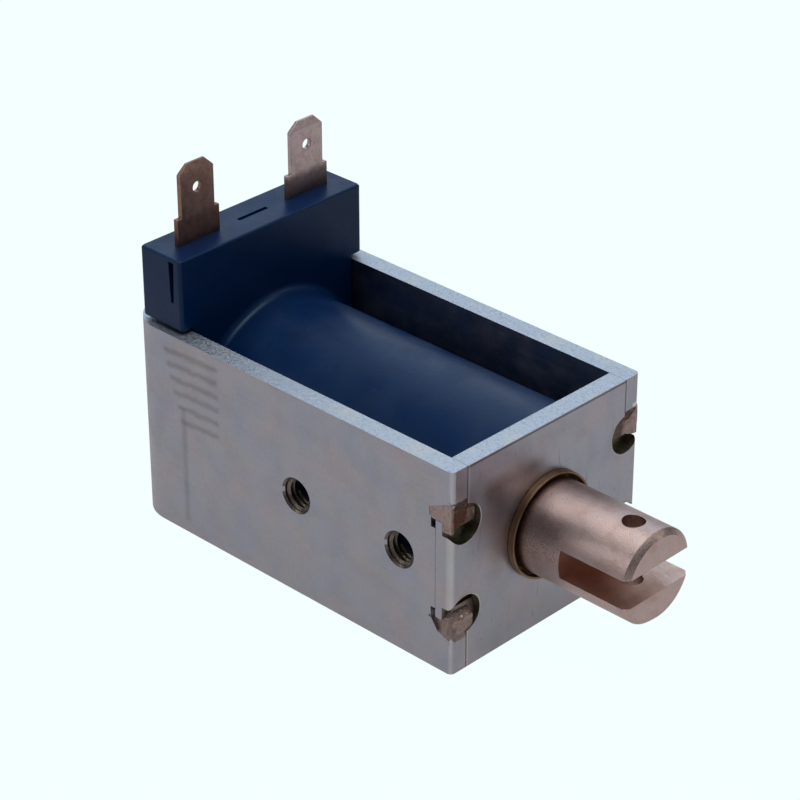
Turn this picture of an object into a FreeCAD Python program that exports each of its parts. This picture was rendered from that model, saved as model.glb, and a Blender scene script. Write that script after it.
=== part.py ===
# Push pull solenoid with a box frame, as a parametric document. Lengths are in millimetres.
# The plunger's axis is the X axis and the front plate's outer face is at X = 0.
# The clevis end points to +X, the terminals stand up along +Z, and the near side plate is at -Y.
import FreeCAD, Part
import math
import os
import Sketcher

DRIVING_SIZES = {
    "frame_length": 65.0,  # front face of the front plate to the rear face of the rear plate
    "frame_width": 38.0,
    "frame_height": 32.0,
    "side_thickness": 3.0,  # of the folded strip
    "bend_radius": 3.6,  # inside of the two rear bends
    "horn_round": 0.8,  # the side plates' outer front edges
    "front_thickness": 3.0,
    "tab_height": 15.4,  # the front plate's side tabs
    "tab_round": 0.8,
    "plate_fit": 0.05,  # between the front plate and the folded strip
    "notch_corner_depth": 0.8,  # the over-cut in the notch's two rear corners
    "notch_corner_height": 1.4,
    "relief_radius": 3.0,  # round reliefs at the tab roots
    "relief_outset": 0.4,  # their centres, outboard of the side plate's inner face
    "relief_drop": 0.5,  # and below the tab's edge
    "stake_fit": 0.05,  # staked metal to the relief's wall
    "stake_fill": 0.8,  # how far past the relief's centre the metal reaches
    "stake_sink": 0.3,  # staked metal below both faces of the front plate
    "punch_length": 4.2,  # the punch's mark along the side plate
    "punch_height": 3.15,  # from the notch's edge to where the mark runs out
    "punch_depth": 1.0,  # at the notch's edge
    "cut_margin": 4.0,  # how far cuts start outside what they cut
    "tapped_radius": 2.5,  # M5
    "tapped_setback": 9.8,  # front face to the first tapped hole
    "tapped_spacing": 20.0,
    "tapped_chamfer": 0.3,  # at their outer mouths
    "bore_radius": 7.5,  # the front plate's hole
    "bore_chamfer": 0.5,
    "plunger_radius": 7.0,
    "plunger_reach": 20.0,  # how far the clevis stands out of the front plate when seated
    "running_fit": 0.05,  # radial, plunger in tube and push rod in bush
    "tube_wall": 0.6,
    "tube_seat_depth": 1.5,  # counterbore for the tube in the front plate
    "seat_fit": 0.05,  # round parts that sit in each other without moving
    "seat_depth": 44.0,  # front face to the flat end of the plunger's nose
    "nose_length": 8.0,
    "nose_radius": 2.8,
    "nose_clearance": 0.3,  # between the nose's cone and the core's cone
    "core_rim": 0.6,
    "rivet_radius": 5.0,  # the core's spigot through the rear plate
    "rivet_chamfer": 0.8,
    "washer_thickness": 0.3,
    "washer_gap": 0.05,
    "washer_rim": 0.3,  # washer smaller than the flat that it lies on
    "rod_radius": 1.5,
    "rod_reach": 15.0,  # how far the rod stands out of the rear plate when seated
    "rod_press_depth": 10.0,
    "rod_round": 0.4,
    "rod_relief": 0.4,  # the core's and the washer's hole, wider than the rod
    "bush_length": 8.0,
    "bush_wall": 1.0,
    "slot_height": 4.4,
    "slot_depth": 11.7,
    "pin_hole_radius": 1.65,
    "pin_hole_setback": 4.7,
    "clevis_chamfer": 0.8,
    "end_play": 0.1,  # moulding to the end plates
    "end_wall": 0.8,  # of the moulding over the former's flanges
    "former_fit": 0.1,  # former to the guide tube
    "former_wall": 1.0,
    "former_flange_thickness": 1.2,
    "winding_margin": 0.8,  # the former's flanges stand this far above the winding
    "moulded_fit": 0.02,  # what the moulding closes round
    "coil_side_gap": 0.25,  # coil to the inner faces of the side plates
    "coil_wall": 1.55,  # of the moulding over the former's flanges, at the rim
    "root_reach": 1.3,  # the coil flares over this length to meet the rear flange
    "root_waist": 0.4,  # the flare's middle corner, off the coil and off the flange
    "flange_thickness": 8.4,
    "flange_side_gap": 0.2,
    "block_side_inset": 1.0,  # of the block's ends from the side plates' outer faces
    "block_height": 11.65,  # of the block's top above the side plates
    "block_gap": 0.4,  # block to the top of the side plates
    "block_side_round": 0.6,
    "block_under_chamfer": 0.35,
    "block_top_chamfer": 0.3,
    "seam_setback": 1.9,  # the open seam in the block's ends, behind its front face
    "seam_width": 1.1,
    "seam_height": 6.4,
    "seam_depth": 1.2,
    "seam_top_margin": 0.6,
    "mark_length": 5.7,  # the short slot between the terminals
    "mark_width": 0.7,
    "mark_depth": 0.4,
    "terminal_pitch": 21.5,
    "terminal_thickness": 0.8,
    "blade_width": 6.3,
    "blade_length": 8.0,
    "blade_chamfer": 1.5,
    "blade_thinning": 0.2,  # off both faces at the tip, for the lead-in
    "blade_thinning_length": 1.2,
    "blade_hole_radius": 0.83,
    "shank_width": 8.0,
    "shank_rise": 4.1,  # shoulders above the block
    "shank_foot": 6.0,  # below the block's top
    "finish_sink": 0.5,  # the finish terminal sits this much deeper than the start terminal
    "lead_width": 0.8,  # the winding's two ends, flattened where they meet the terminals
    "lead_sink": 1.0,  # where they root in the winding
}


class Size:
    """A length that is both a number and the spreadsheet expression that makes it."""

    def __init__(self, text, number):
        self.text = text
        self.number = number

    def combined(self, sign, other, swapped=False):
        if not isinstance(other, Size):
            other = Size(repr(float(other)), float(other))
        first, second = (other, self) if swapped else (self, other)
        numbers = {
            "+": lambda a, b: a + b,
            "-": lambda a, b: a - b,
            "*": lambda a, b: a * b,
            "/": lambda a, b: a / b,
        }
        return Size(f"({first.text} {sign} {second.text})", numbers[sign](first.number, second.number))

    def __add__(self, other):
        return self.combined("+", other)

    def __radd__(self, other):
        return self.combined("+", other, swapped=True)

    def __sub__(self, other):
        return self.combined("-", other)

    def __rsub__(self, other):
        return self.combined("-", other, swapped=True)

    def __mul__(self, other):
        return self.combined("*", other)

    def __rmul__(self, other):
        return self.combined("*", other, swapped=True)

    def __truediv__(self, other):
        return self.combined("/", other)

    def __neg__(self):
        return self * -1

    def bind(self, item, path):
        item.setExpression(path, self.text)


class Sizes:
    """The driving dimensions, each one an attribute that names its spreadsheet cell."""


def square_root(size):
    return Size(f"sqrt({size.text})", math.sqrt(size.number))


document = FreeCAD.newDocument("solenoid")
sheet = document.addObject("Spreadsheet::Sheet", "Sizes")
size = Sizes()
for row, (name, number) in enumerate(DRIVING_SIZES.items(), start=1):
    sheet.set(f"A{row}", name)
    sheet.set(f"B{row}", str(number))
    sheet.setAlias(f"B{row}", name)
    setattr(size, name, Size(f"Sizes.{name}", number))
document.recompute()

NOTHING = size.frame_length * 0
bodies = []


def new_body(name):
    body = document.addObject("PartDesign::Body", name)
    body.Label = name
    body.Placement = FreeCAD.Placement()
    bodies.append(body)
    return body


def new_sketch(body, name, role, offset=None):
    """A sketch on one of the body's own origin planes, moved along the plane's normal."""
    plane = next(feature for feature in body.Origin.OriginFeatures if feature.Role == role)
    sketch = body.newObject("Sketcher::SketchObject", name)
    sketch.AttachmentSupport = [(plane, "")]
    sketch.MapMode = "FlatFace"
    if offset is not None:
        offset.bind(sketch, "AttachmentOffset.Base.z")
    return sketch


def pin_point(sketch, geometry, position, point):
    """Ties one point of the sketch to its two coordinates."""
    for kind, axis, distance in (("DistanceX", "x", point[0]), ("DistanceY", "y", point[1])):
        if not isinstance(distance, Size):
            distance = NOTHING + distance
        rule = Sketcher.Constraint(kind, -1, 1, geometry, position, distance.number)
        index = sketch.addConstraint(rule)
        label = f"{axis}_{geometry}_{position}"
        sketch.renameConstraint(index, label)
        distance.bind(sketch, f"Constraints.{label}")


def coordinates(point):
    return FreeCAD.Vector(*(value.number if isinstance(value, Size) else value for value in point), 0)


def draw_polygon(sketch, points):
    """A closed outline of straight edges through the points."""
    first = sketch.GeometryCount
    count = len(points)
    for index in range(count):
        start = coordinates(points[index])
        end = coordinates(points[(index + 1) % count])
        sketch.addGeometry(Part.LineSegment(start, end), False)
    for index in range(count):
        following = first + (index + 1) % count
        sketch.addConstraint(Sketcher.Constraint("Coincident", first + index, 2, following, 1))
        pin_point(sketch, first + index, 1, points[index])


def draw_rectangle(sketch, left, right, low, high):
    draw_polygon(sketch, [(left, low), (right, low), (right, high), (left, high)])


def draw_circle(sketch, centre, radius):
    index = sketch.addGeometry(Part.Circle(coordinates(centre), FreeCAD.Vector(0, 0, 1), radius.number), False)
    pin_point(sketch, index, 3, centre)
    rule = sketch.addConstraint(Sketcher.Constraint("Radius", index, radius.number))
    sketch.renameConstraint(rule, f"radius_{index}")
    radius.bind(sketch, f"Constraints.radius_{index}")


def draw_arc(sketch, centre, radius, start, end):
    """An arc from start to end, anticlockwise about its centre. Start and end lie on the circle."""
    middle = coordinates(centre)
    angles = [math.atan2(point.y - middle.y, point.x - middle.x) for point in (coordinates(start), coordinates(end))]
    circle = Part.Circle(middle, FreeCAD.Vector(0, 0, 1), radius.number)
    index = sketch.addGeometry(Part.ArcOfCircle(circle, *angles), False)
    pin_point(sketch, index, 3, centre)
    pin_point(sketch, index, 1, start)
    return index


def pad(body, sketch, length, name, symmetric=False, backwards=False):
    feature = body.newObject("PartDesign::Pad", name)
    feature.Profile = sketch
    feature.SideType = "Symmetric" if symmetric else "One side"
    feature.Reversed = backwards
    length.bind(feature, "Length")
    return feature


def pocket(body, sketch, name, length=None, symmetric=False, backwards=False):
    """A cut along the sketch's normal, right through where no length is given."""
    feature = body.newObject("PartDesign::Pocket", name)
    feature.Profile = sketch
    feature.SideType = "Symmetric" if symmetric else "One side"
    feature.Reversed = backwards
    if length is None:
        feature.Type = "ThroughAll"
    else:
        length.bind(feature, "Length")
    return feature


def revolve(body, sketch, name):
    """A full turn about the plunger's axis."""
    feature = body.newObject("PartDesign::Revolution", name)
    feature.Profile = sketch
    feature.ReferenceAxis = (sketch, ["H_Axis"])
    feature.Angle = 360
    return feature


def edges_where(feature, test):
    """Names of the edges whose points all pass the test."""
    document.recompute()
    names = []
    for index, edge in enumerate(feature.Shape.Edges, start=1):
        if edge.Length < 1e-6:
            continue
        points = [vertex.Point for vertex in edge.Vertexes]
        points.append(edge.valueAt((edge.FirstParameter + edge.LastParameter) / 2))
        if all(test(point) for point in points):
            names.append(f"Edge{index}")
    return names


def near(value, target, reach=1e-3):
    return abs(value - target.number) < reach


def round_edges(body, feature, radius, name, test):
    fillet = body.newObject("PartDesign::Fillet", name)
    fillet.Base = (feature, edges_where(feature, test))
    radius.bind(fillet, "Radius")
    return fillet


def bevel_edges(body, feature, width, name, test):
    chamfer = body.newObject("PartDesign::Chamfer", name)
    chamfer.Base = (feature, edges_where(feature, test))
    width.bind(chamfer, "Size")
    return chamfer


# Places that more than one piece shares
half_width = size.frame_width / 2
half_height = size.frame_height / 2
inner_half_width = half_width - size.side_thickness
inner_rear = -(size.frame_length - size.side_thickness)
front_inner = -size.front_thickness
tab_half_height = size.tab_height / 2
notch_half_height = tab_half_height + size.plate_fit
relief_y = inner_half_width + size.relief_outset
relief_z = tab_half_height - size.relief_drop
tube_inner = size.plunger_radius + size.running_fit
tube_outer = tube_inner + size.tube_wall
tube_front = front_inner + size.tube_seat_depth - size.seat_fit
core_radius = tube_inner - size.seat_fit / 2
seat_x = -(size.seat_depth + size.washer_thickness + size.washer_gap)
cone_slope = (size.plunger_radius - size.nose_radius) / size.nose_length
cone_bottom = size.nose_radius + size.nose_clearance
core_mouth = core_radius - size.core_rim
core_front = seat_x + (core_mouth - cone_bottom) / cone_slope
rod_passage = size.rod_radius + size.rod_relief
bush_outer = size.rod_radius + size.running_fit + size.bush_wall
former_bore = tube_outer + size.former_fit
former_outer = former_bore + size.former_wall
coil_radius = inner_half_width - size.coil_side_gap
former_flange_radius = coil_radius - size.coil_wall
winding_radius = former_flange_radius - size.winding_margin
coil_front = front_inner - size.end_play
coil_rear = inner_rear + size.end_play
former_front = coil_front - size.end_wall
former_rear = coil_rear + size.end_wall
winding_front = former_front - size.former_flange_thickness - size.moulded_fit
winding_rear = former_rear + size.former_flange_thickness + size.moulded_fit
flange_front = coil_rear + size.flange_thickness
block_middle = coil_rear + size.flange_thickness / 2
block_half_width = half_width - size.block_side_inset
block_bottom = half_height + size.block_gap
block_top = half_height + size.block_height
foot_height = {-1: block_top - size.shank_foot, 1: block_top - size.shank_foot - size.finish_sink}
SIDES = (-1, 1)


def make_u_frame():
    body = new_body("u_frame")
    outline = new_sketch(body, "strip_outline", "XY_Plane")
    draw_polygon(
        outline,
        [
            (-size.frame_length, -half_width),
            (0, -half_width),
            (0, -inner_half_width),
            (inner_rear, -inner_half_width),
            (inner_rear, inner_half_width),
            (0, inner_half_width),
            (0, half_width),
            (-size.frame_length, half_width),
        ],
    )
    strip = pad(body, outline, size.frame_height, "strip", symmetric=True)

    outer_bend = round_edges(
        body,
        strip,
        size.bend_radius + size.side_thickness,
        "outer_bends",
        lambda point: near(point.x, -size.frame_length) and near(abs(point.y), half_width),
    )
    inner_bend = round_edges(
        body,
        outer_bend,
        size.bend_radius,
        "inner_bends",
        lambda point: near(point.x, inner_rear) and near(abs(point.y), inner_half_width),
    )
    round_edges(
        body,
        inner_bend,
        size.horn_round,
        "horn_rounds",
        lambda point: near(point.x, NOTHING) and near(abs(point.y), half_width),
    )

    # The notch takes the front plate's tab, with an over-cut in each rear corner
    notch_x = front_inner - size.plate_fit
    corner_x = notch_x - size.notch_corner_depth
    corner_z = notch_half_height - size.notch_corner_height
    notch = new_sketch(body, "notch_outline", "XZ_Plane")
    draw_polygon(
        notch,
        [
            (size.cut_margin, -notch_half_height),
            (size.cut_margin, notch_half_height),
            (corner_x, notch_half_height),
            (corner_x, corner_z),
            (notch_x, corner_z),
            (notch_x, -corner_z),
            (corner_x, -corner_z),
            (corner_x, -notch_half_height),
        ],
    )
    pocket(body, notch, "notches", symmetric=True)

    tapped = new_sketch(body, "tapped_outline", "XZ_Plane")
    for step in range(2):
        draw_circle(tapped, (-(size.tapped_setback + step * size.tapped_spacing), 0), size.tapped_radius)
    tapped_holes = pocket(body, tapped, "tapped_holes", symmetric=True)
    first_hole = -size.tapped_setback
    last_hole = first_hole - size.tapped_spacing
    bevel_edges(
        body,
        tapped_holes,
        size.tapped_chamfer,
        "tapped_chamfers",
        lambda point: abs(point.z) < size.tapped_radius.number + 1e-3
        and min(abs(point.x - first_hole.number), abs(point.x - last_hole.number)) < size.tapped_radius.number + 1e-3
        and near(abs(point.y), half_width),
    )

    rivet = new_sketch(body, "rivet_outline", "YZ_Plane")
    draw_circle(rivet, (0, 0), size.rivet_radius)
    rivet_hole = pocket(body, rivet, "rivet_hole")
    bevel_edges(
        body,
        rivet_hole,
        size.rivet_chamfer,
        "rivet_countersink",
        lambda point: near(point.x, -size.frame_length) and math.hypot(point.y, point.z) < size.rivet_radius.number + 1e-3,
    )
    make_stakes(body)


def make_stakes(body):
    """The staked metal fills most of each relief, and a slanting punch mark thins the horn above it."""
    metal = new_sketch(body, "staked_outline", "YZ_Plane", -size.stake_sink)
    radius = size.relief_radius - size.stake_fit
    half_chord = square_root(radius * radius - size.stake_fill * size.stake_fill)
    for y_side in SIDES:
        for z_side in SIDES:
            chord_z = z_side * (relief_z - size.stake_fill)
            root_z = z_side * (relief_z + radius)
            inner = (y_side * (relief_y - half_chord), chord_z)
            root = (y_side * relief_y, root_z)
            corners = [root, (y_side * half_width, root_z), (y_side * half_width, chord_z), inner]
            ends = (inner, root) if y_side * z_side < 0 else (root, inner)
            arc = draw_arc(metal, (y_side * relief_y, z_side * relief_z), radius, *ends)
            lines = []
            for start, end in zip(corners, corners[1:]):
                lines.append(metal.addGeometry(Part.LineSegment(coordinates(start), coordinates(end)), False))
            root_end, inner_end = (2, 1) if y_side * z_side < 0 else (1, 2)
            metal.addConstraint(Sketcher.Constraint("Coincident", arc, root_end, lines[0], 1))
            metal.addConstraint(Sketcher.Constraint("Coincident", arc, inner_end, lines[-1], 2))
            for index in (1, 2):
                metal.addConstraint(Sketcher.Constraint("Coincident", lines[index - 1], 2, lines[index], 1))
                pin_point(metal, lines[index], 1, corners[index])
    pad(body, metal, size.front_thickness - 2 * size.stake_sink, "staked_metal", backwards=True)

    # Both slopes run out at punch_height from the notch's edge and go on as far past it
    fade = notch_half_height + size.punch_height
    deep = notch_half_height - size.punch_height
    twice = 2 * size.punch_depth
    ends_mark = new_sketch(body, "horn_end_marks", "XZ_Plane")
    for z_side in SIDES:
        draw_polygon(
            ends_mark,
            [
                (0, z_side * fade),
                (-twice, z_side * deep),
                (size.cut_margin, z_side * deep),
                (size.cut_margin, z_side * fade),
            ],
        )
    pocket(body, ends_mark, "punched_ends", symmetric=True)

    sides_mark = new_sketch(body, "horn_side_marks", "YZ_Plane", -size.punch_length)
    for y_side in SIDES:
        outside = half_width + size.cut_margin
        for z_side in SIDES:
            draw_polygon(
                sides_mark,
                [
                    (y_side * half_width, z_side * fade),
                    (y_side * (half_width - twice), z_side * deep),
                    (y_side * outside, z_side * deep),
                    (y_side * outside, z_side * fade),
                ],
            )
    pocket(body, sides_mark, "punched_sides", length=size.punch_length + size.cut_margin, backwards=True)


def make_front_plate():
    body = new_body("front_plate")
    outline = new_sketch(body, "plate_outline", "YZ_Plane")
    plate_half_width = inner_half_width - size.plate_fit
    corners = [(plate_half_width, half_height), (plate_half_width, tab_half_height), (half_width, tab_half_height)]
    right = corners + [(y, -z) for y, z in reversed(corners)]
    left = [(-y, -z) for y, z in right]
    draw_polygon(outline, right + left)
    pad(body, outline, size.front_thickness, "plate", backwards=True)

    reliefs = new_sketch(body, "relief_outline", "YZ_Plane")
    for y_side in SIDES:
        for z_side in SIDES:
            draw_circle(reliefs, (y_side * relief_y, z_side * relief_z), size.relief_radius)
    draw_circle(reliefs, (0, 0), size.bore_radius)
    pocket(body, reliefs, "reliefs_and_bore")

    seat = new_sketch(body, "tube_seat_outline", "YZ_Plane", front_inner)
    draw_circle(seat, (0, 0), tube_outer + size.seat_fit)
    tube_seat = pocket(body, seat, "tube_seat", length=size.tube_seat_depth, backwards=True)

    bore_edge = bevel_edges(
        body,
        tube_seat,
        size.bore_chamfer,
        "bore_chamfer",
        lambda point: near(point.x, NOTHING) and near(math.hypot(point.y, point.z), size.bore_radius),
    )
    round_edges(
        body,
        bore_edge,
        size.tab_round,
        "tab_rounds",
        lambda point: near(abs(point.y), half_width)
        and (near(point.x, NOTHING) or near(abs(point.z), tab_half_height)),
    )


def make_coil_moulding():
    body = new_body("coil_moulding")
    profile = new_sketch(body, "coil_profile", "XZ_Plane")
    draw_polygon(
        profile,
        [
            (coil_front, 0),
            (coil_front, coil_radius),
            (flange_front + size.root_reach, coil_radius),
            (flange_front + size.root_waist, coil_radius + size.root_waist),
            (flange_front, coil_radius + size.root_reach),
            (coil_rear, coil_radius + size.root_reach),
            (coil_rear, 0),
        ],
    )
    revolve(body, profile, "coil")

    flange = new_sketch(body, "flange_outline", "YZ_Plane", coil_rear)
    flange_half_width = inner_half_width - size.flange_side_gap
    flange_bottom = -(half_height - size.flange_side_gap)
    draw_polygon(
        flange,
        [
            (-flange_half_width, flange_bottom),
            (flange_half_width, flange_bottom),
            (flange_half_width, block_bottom),
            (block_half_width, block_bottom),
            (block_half_width, block_top),
            (-block_half_width, block_top),
            (-block_half_width, block_bottom),
            (-flange_half_width, block_bottom),
        ],
    )
    pad(body, flange, size.flange_thickness, "flange_and_block")

    # The coil's flared root is cut off flush with the flange's sides and foot
    trim = new_sketch(body, "trim_outline", "YZ_Plane", coil_rear)
    reach = coil_radius + 2 * size.root_reach
    draw_polygon(
        trim,
        [
            (-reach, -reach),
            (reach, -reach),
            (reach, block_bottom),
            (flange_half_width, block_bottom),
            (flange_half_width, flange_bottom),
            (-flange_half_width, flange_bottom),
            (-flange_half_width, block_bottom),
            (-reach, block_bottom),
        ],
    )
    pocket(body, trim, "flush_sides", length=size.flange_thickness + size.root_reach, backwards=True)

    bore = new_sketch(body, "former_space", "XZ_Plane")
    flange_space = former_flange_radius + size.moulded_fit
    half_space = [
        (coil_front + size.cut_margin, 0),
        (coil_front + size.cut_margin, former_bore),
        (former_front + size.moulded_fit, former_bore),
        (former_front + size.moulded_fit, flange_space),
        (winding_front + size.moulded_fit, flange_space),
        (winding_front + size.moulded_fit, winding_radius + size.moulded_fit),
        (winding_rear - size.moulded_fit, winding_radius + size.moulded_fit),
        (winding_rear - size.moulded_fit, flange_space),
        (former_rear - size.moulded_fit, flange_space),
        (former_rear - size.moulded_fit, former_bore),
        (coil_rear - size.cut_margin, former_bore),
        (coil_rear - size.cut_margin, 0),
    ]
    draw_polygon(bore, half_space)
    hollow = body.newObject("PartDesign::Groove", "former_and_winding_space")
    hollow.Profile = bore
    hollow.ReferenceAxis = (bore, ["H_Axis"])
    hollow.Angle = 360

    half_socket = size.terminal_thickness / 2 + size.moulded_fit
    half_shank = size.shank_width / 2 + size.moulded_fit
    for y_side, name in ((-1, "start"), (1, "finish")):
        socket = new_sketch(body, f"{name}_socket_outline", "XY_Plane", foot_height[y_side] - size.moulded_fit)
        middle = y_side * size.terminal_pitch / 2
        draw_rectangle(
            socket, block_middle - half_socket, block_middle + half_socket, middle - half_shank, middle + half_shank
        )
        pocket(body, socket, f"{name}_socket", length=size.block_height, backwards=True)
        passage = new_sketch(body, f"{name}_passage_outline", "XY_Plane", foot_height[y_side])
        draw_lead(passage, y_side, size.lead_width / 2 + size.moulded_fit)
        depth = foot_height[y_side] - winding_height_at_lead() + size.lead_sink
        pocket(body, passage, f"{name}_lead_passage", length=depth)

    mark = new_sketch(body, "mark_outline", "XY_Plane", block_top)
    draw_rectangle(
        mark,
        block_middle - size.mark_width / 2,
        block_middle + size.mark_width / 2,
        -size.mark_length / 2,
        size.mark_length / 2,
    )
    pocket(body, mark, "mark", length=size.mark_depth)

    seam_x = flange_front - size.seam_setback
    seam_top = block_top - size.seam_top_margin
    half_seam = size.seam_width / 2
    for y_side in SIDES:
        seam = new_sketch(body, f"seam_outline_{y_side + 1}", "XZ_Plane", -y_side * block_half_width)
        draw_polygon(
            seam,
            [
                (seam_x - half_seam, seam_top),
                (seam_x + half_seam, seam_top),
                (seam_x + half_seam / 2, seam_top - size.seam_height),
                (seam_x - half_seam / 2, seam_top - size.seam_height),
            ],
        )
        seams = pocket(body, seam, f"seam_{y_side + 1}", length=size.seam_depth, backwards=y_side > 0)

    # The flange's rear corners follow the inside of the frame's bends
    bend_rounds = round_edges(
        body,
        seams,
        size.bend_radius,
        "flange_corner_rounds",
        lambda point: near(abs(point.y), flange_half_width) and near(point.x, coil_rear),
    )
    side_rounds = round_edges(
        body,
        bend_rounds,
        size.block_side_round,
        "block_side_rounds",
        lambda point: near(abs(point.y), block_half_width)
        and (near(point.x, flange_front) or near(point.x, coil_rear))
        and point.z > block_bottom.number - 1e-3,
    )
    under_chamfers = bevel_edges(
        body,
        side_rounds,
        size.block_under_chamfer,
        "block_under_chamfers",
        lambda point: near(point.z, block_bottom) and near(abs(point.y), block_half_width),
    )
    bevel_edges(
        body,
        under_chamfers,
        size.block_top_chamfer,
        "block_top_chamfer",
        lambda point: near(point.z, block_top) and near(abs(point.y), block_half_width),
    )


def draw_lead(sketch, y_side, half_side):
    """The square section of one of the winding's ends, below its terminal."""
    middle = y_side * size.terminal_pitch / 2
    draw_rectangle(sketch, block_middle - half_side, block_middle + half_side, middle - half_side, middle + half_side)


def winding_height_at_lead():
    """How high the winding's surface is below a terminal."""
    half_pitch = size.terminal_pitch / 2
    return square_root(winding_radius * winding_radius - half_pitch * half_pitch)


def make_terminal(name, side):
    body = new_body(name)
    outline = new_sketch(body, "terminal_outline", "YZ_Plane", block_middle)
    middle = side * size.terminal_pitch / 2
    half_blade = size.blade_width / 2
    half_shank = size.shank_width / 2
    foot = foot_height[side]
    shoulder = foot + size.shank_foot + size.shank_rise
    tip = shoulder + size.blade_length
    draw_polygon(
        outline,
        [
            (middle - half_shank, foot),
            (middle + half_shank, foot),
            (middle + half_shank, shoulder),
            (middle + half_blade, shoulder),
            (middle + half_blade, tip - size.blade_chamfer),
            (middle + half_blade - size.blade_chamfer, tip),
            (middle - half_blade + size.blade_chamfer, tip),
            (middle - half_blade, tip - size.blade_chamfer),
            (middle - half_blade, shoulder),
            (middle - half_shank, shoulder),
        ],
    )
    pad(body, outline, size.terminal_thickness, "blade", symmetric=True)
    hole = new_sketch(body, "hole_outline", "YZ_Plane")
    draw_circle(hole, (middle, tip - size.blade_length / 2), size.blade_hole_radius)
    pocket(body, hole, "blade_hole")

    # Both faces slope together towards the tip
    slopes = new_sketch(body, "tip_slopes", "XZ_Plane")
    slope_start = tip - size.blade_thinning_length
    for x_side in SIDES:
        face = block_middle + x_side * size.terminal_thickness / 2
        outside = face + x_side * size.cut_margin
        draw_polygon(
            slopes,
            [
                (face, slope_start),
                (face - x_side * size.blade_thinning, tip),
                (outside, tip),
                (outside, slope_start),
            ],
        )
    pocket(body, slopes, "lead_in", symmetric=True)


def turned_piece(name, points):
    """A piece turned about the plunger's axis, from half of its section."""
    body = new_body(name)
    profile = new_sketch(body, f"{name}_profile", "XZ_Plane")
    draw_polygon(profile, points)
    revolve(body, profile, f"{name}_turned")
    return body


def make_winding():
    inner = former_outer + size.moulded_fit
    outer = winding_radius
    body = turned_piece(
        "winding",
        [(winding_front, inner), (winding_front, outer), (winding_rear, outer), (winding_rear, inner)],
    )
    for y_side, name in ((-1, "start"), (1, "finish")):
        lead = new_sketch(body, f"{name}_lead_outline", "XY_Plane", winding_height_at_lead() - size.lead_sink)
        draw_lead(lead, y_side, size.lead_width / 2)
        pad(body, lead, foot_height[y_side] - winding_height_at_lead() + size.lead_sink, f"{name}_lead")


def make_coil_former():
    flange = size.former_flange_thickness
    turned_piece(
        "coil_former",
        [
            (former_front, former_bore),
            (former_front, former_flange_radius),
            (former_front - flange, former_flange_radius),
            (former_front - flange, former_outer),
            (former_rear + flange, former_outer),
            (former_rear + flange, former_flange_radius),
            (former_rear, former_flange_radius),
            (former_rear, former_bore),
        ],
    )


def make_guide_tube():
    rear = inner_rear + size.seat_fit
    turned_piece(
        "guide_tube",
        [(tube_front, tube_inner), (tube_front, tube_outer), (rear, tube_outer), (rear, tube_inner)],
    )


def make_fixed_core():
    rear_face = -size.frame_length
    bush_front = rear_face + size.bush_length
    rivet = size.rivet_radius - size.seat_fit
    head = rivet + size.rivet_chamfer
    turned_piece(
        "fixed_core",
        [
            (seat_x, rod_passage),
            (seat_x, cone_bottom),
            (core_front, core_mouth),
            (core_front, core_radius),
            (inner_rear, core_radius),
            (inner_rear, rivet),
            (rear_face + size.rivet_chamfer, rivet),
            (rear_face, head),
            (rear_face, bush_outer),
            (bush_front, bush_outer),
            (bush_front, rod_passage),
        ],
    )


def make_residual_washer():
    front = seat_x + size.washer_thickness
    outer = cone_bottom - size.washer_rim
    turned_piece(
        "residual_washer",
        [(seat_x, rod_passage), (seat_x, outer), (front, outer), (front, rod_passage)],
    )


def make_rod_bush():
    rear = -size.frame_length
    front = rear + size.bush_length
    inner = size.rod_radius + size.running_fit
    turned_piece("rod_bush", [(rear, inner), (rear, bush_outer), (front, bush_outer), (front, inner)])


def make_push_rod():
    front = -size.seat_depth + size.rod_press_depth
    tip = -(size.frame_length + size.rod_reach)
    turned_piece(
        "push_rod",
        [
            (front, 0),
            (front, size.rod_radius),
            (tip + size.rod_round, size.rod_radius),
            (tip, size.rod_radius - size.rod_round),
            (tip, 0),
        ],
    )


def make_plunger():
    clevis_end = size.plunger_reach
    nose_end = -size.seat_depth
    body = turned_piece(
        "plunger",
        [
            (nose_end + size.rod_press_depth, 0),
            (clevis_end, 0),
            (clevis_end, size.plunger_radius - size.clevis_chamfer),
            (clevis_end - size.clevis_chamfer, size.plunger_radius),
            (nose_end + size.nose_length, size.plunger_radius),
            (nose_end, size.nose_radius),
            (nose_end, size.rod_radius),
            (nose_end + size.rod_press_depth, size.rod_radius),
        ],
    )
    slot = new_sketch(body, "slot_outline", "XZ_Plane")
    half_slot = size.slot_height / 2
    draw_rectangle(slot, clevis_end - size.slot_depth, clevis_end + size.clevis_chamfer, -half_slot, half_slot)
    pocket(body, slot, "clevis_slot", symmetric=True)
    pin = new_sketch(body, "pin_hole_outline", "XY_Plane")
    draw_circle(pin, (clevis_end - size.pin_hole_setback, 0), size.pin_hole_radius)
    pocket(body, pin, "pin_hole", symmetric=True)


make_u_frame()
make_front_plate()
make_coil_moulding()
make_coil_former()
make_winding()
make_terminal("start_terminal", -1)
make_terminal("finish_terminal", 1)
make_guide_tube()
make_fixed_core()
make_residual_washer()
make_rod_bush()
make_push_rod()
make_plunger()
document.recompute()

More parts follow.
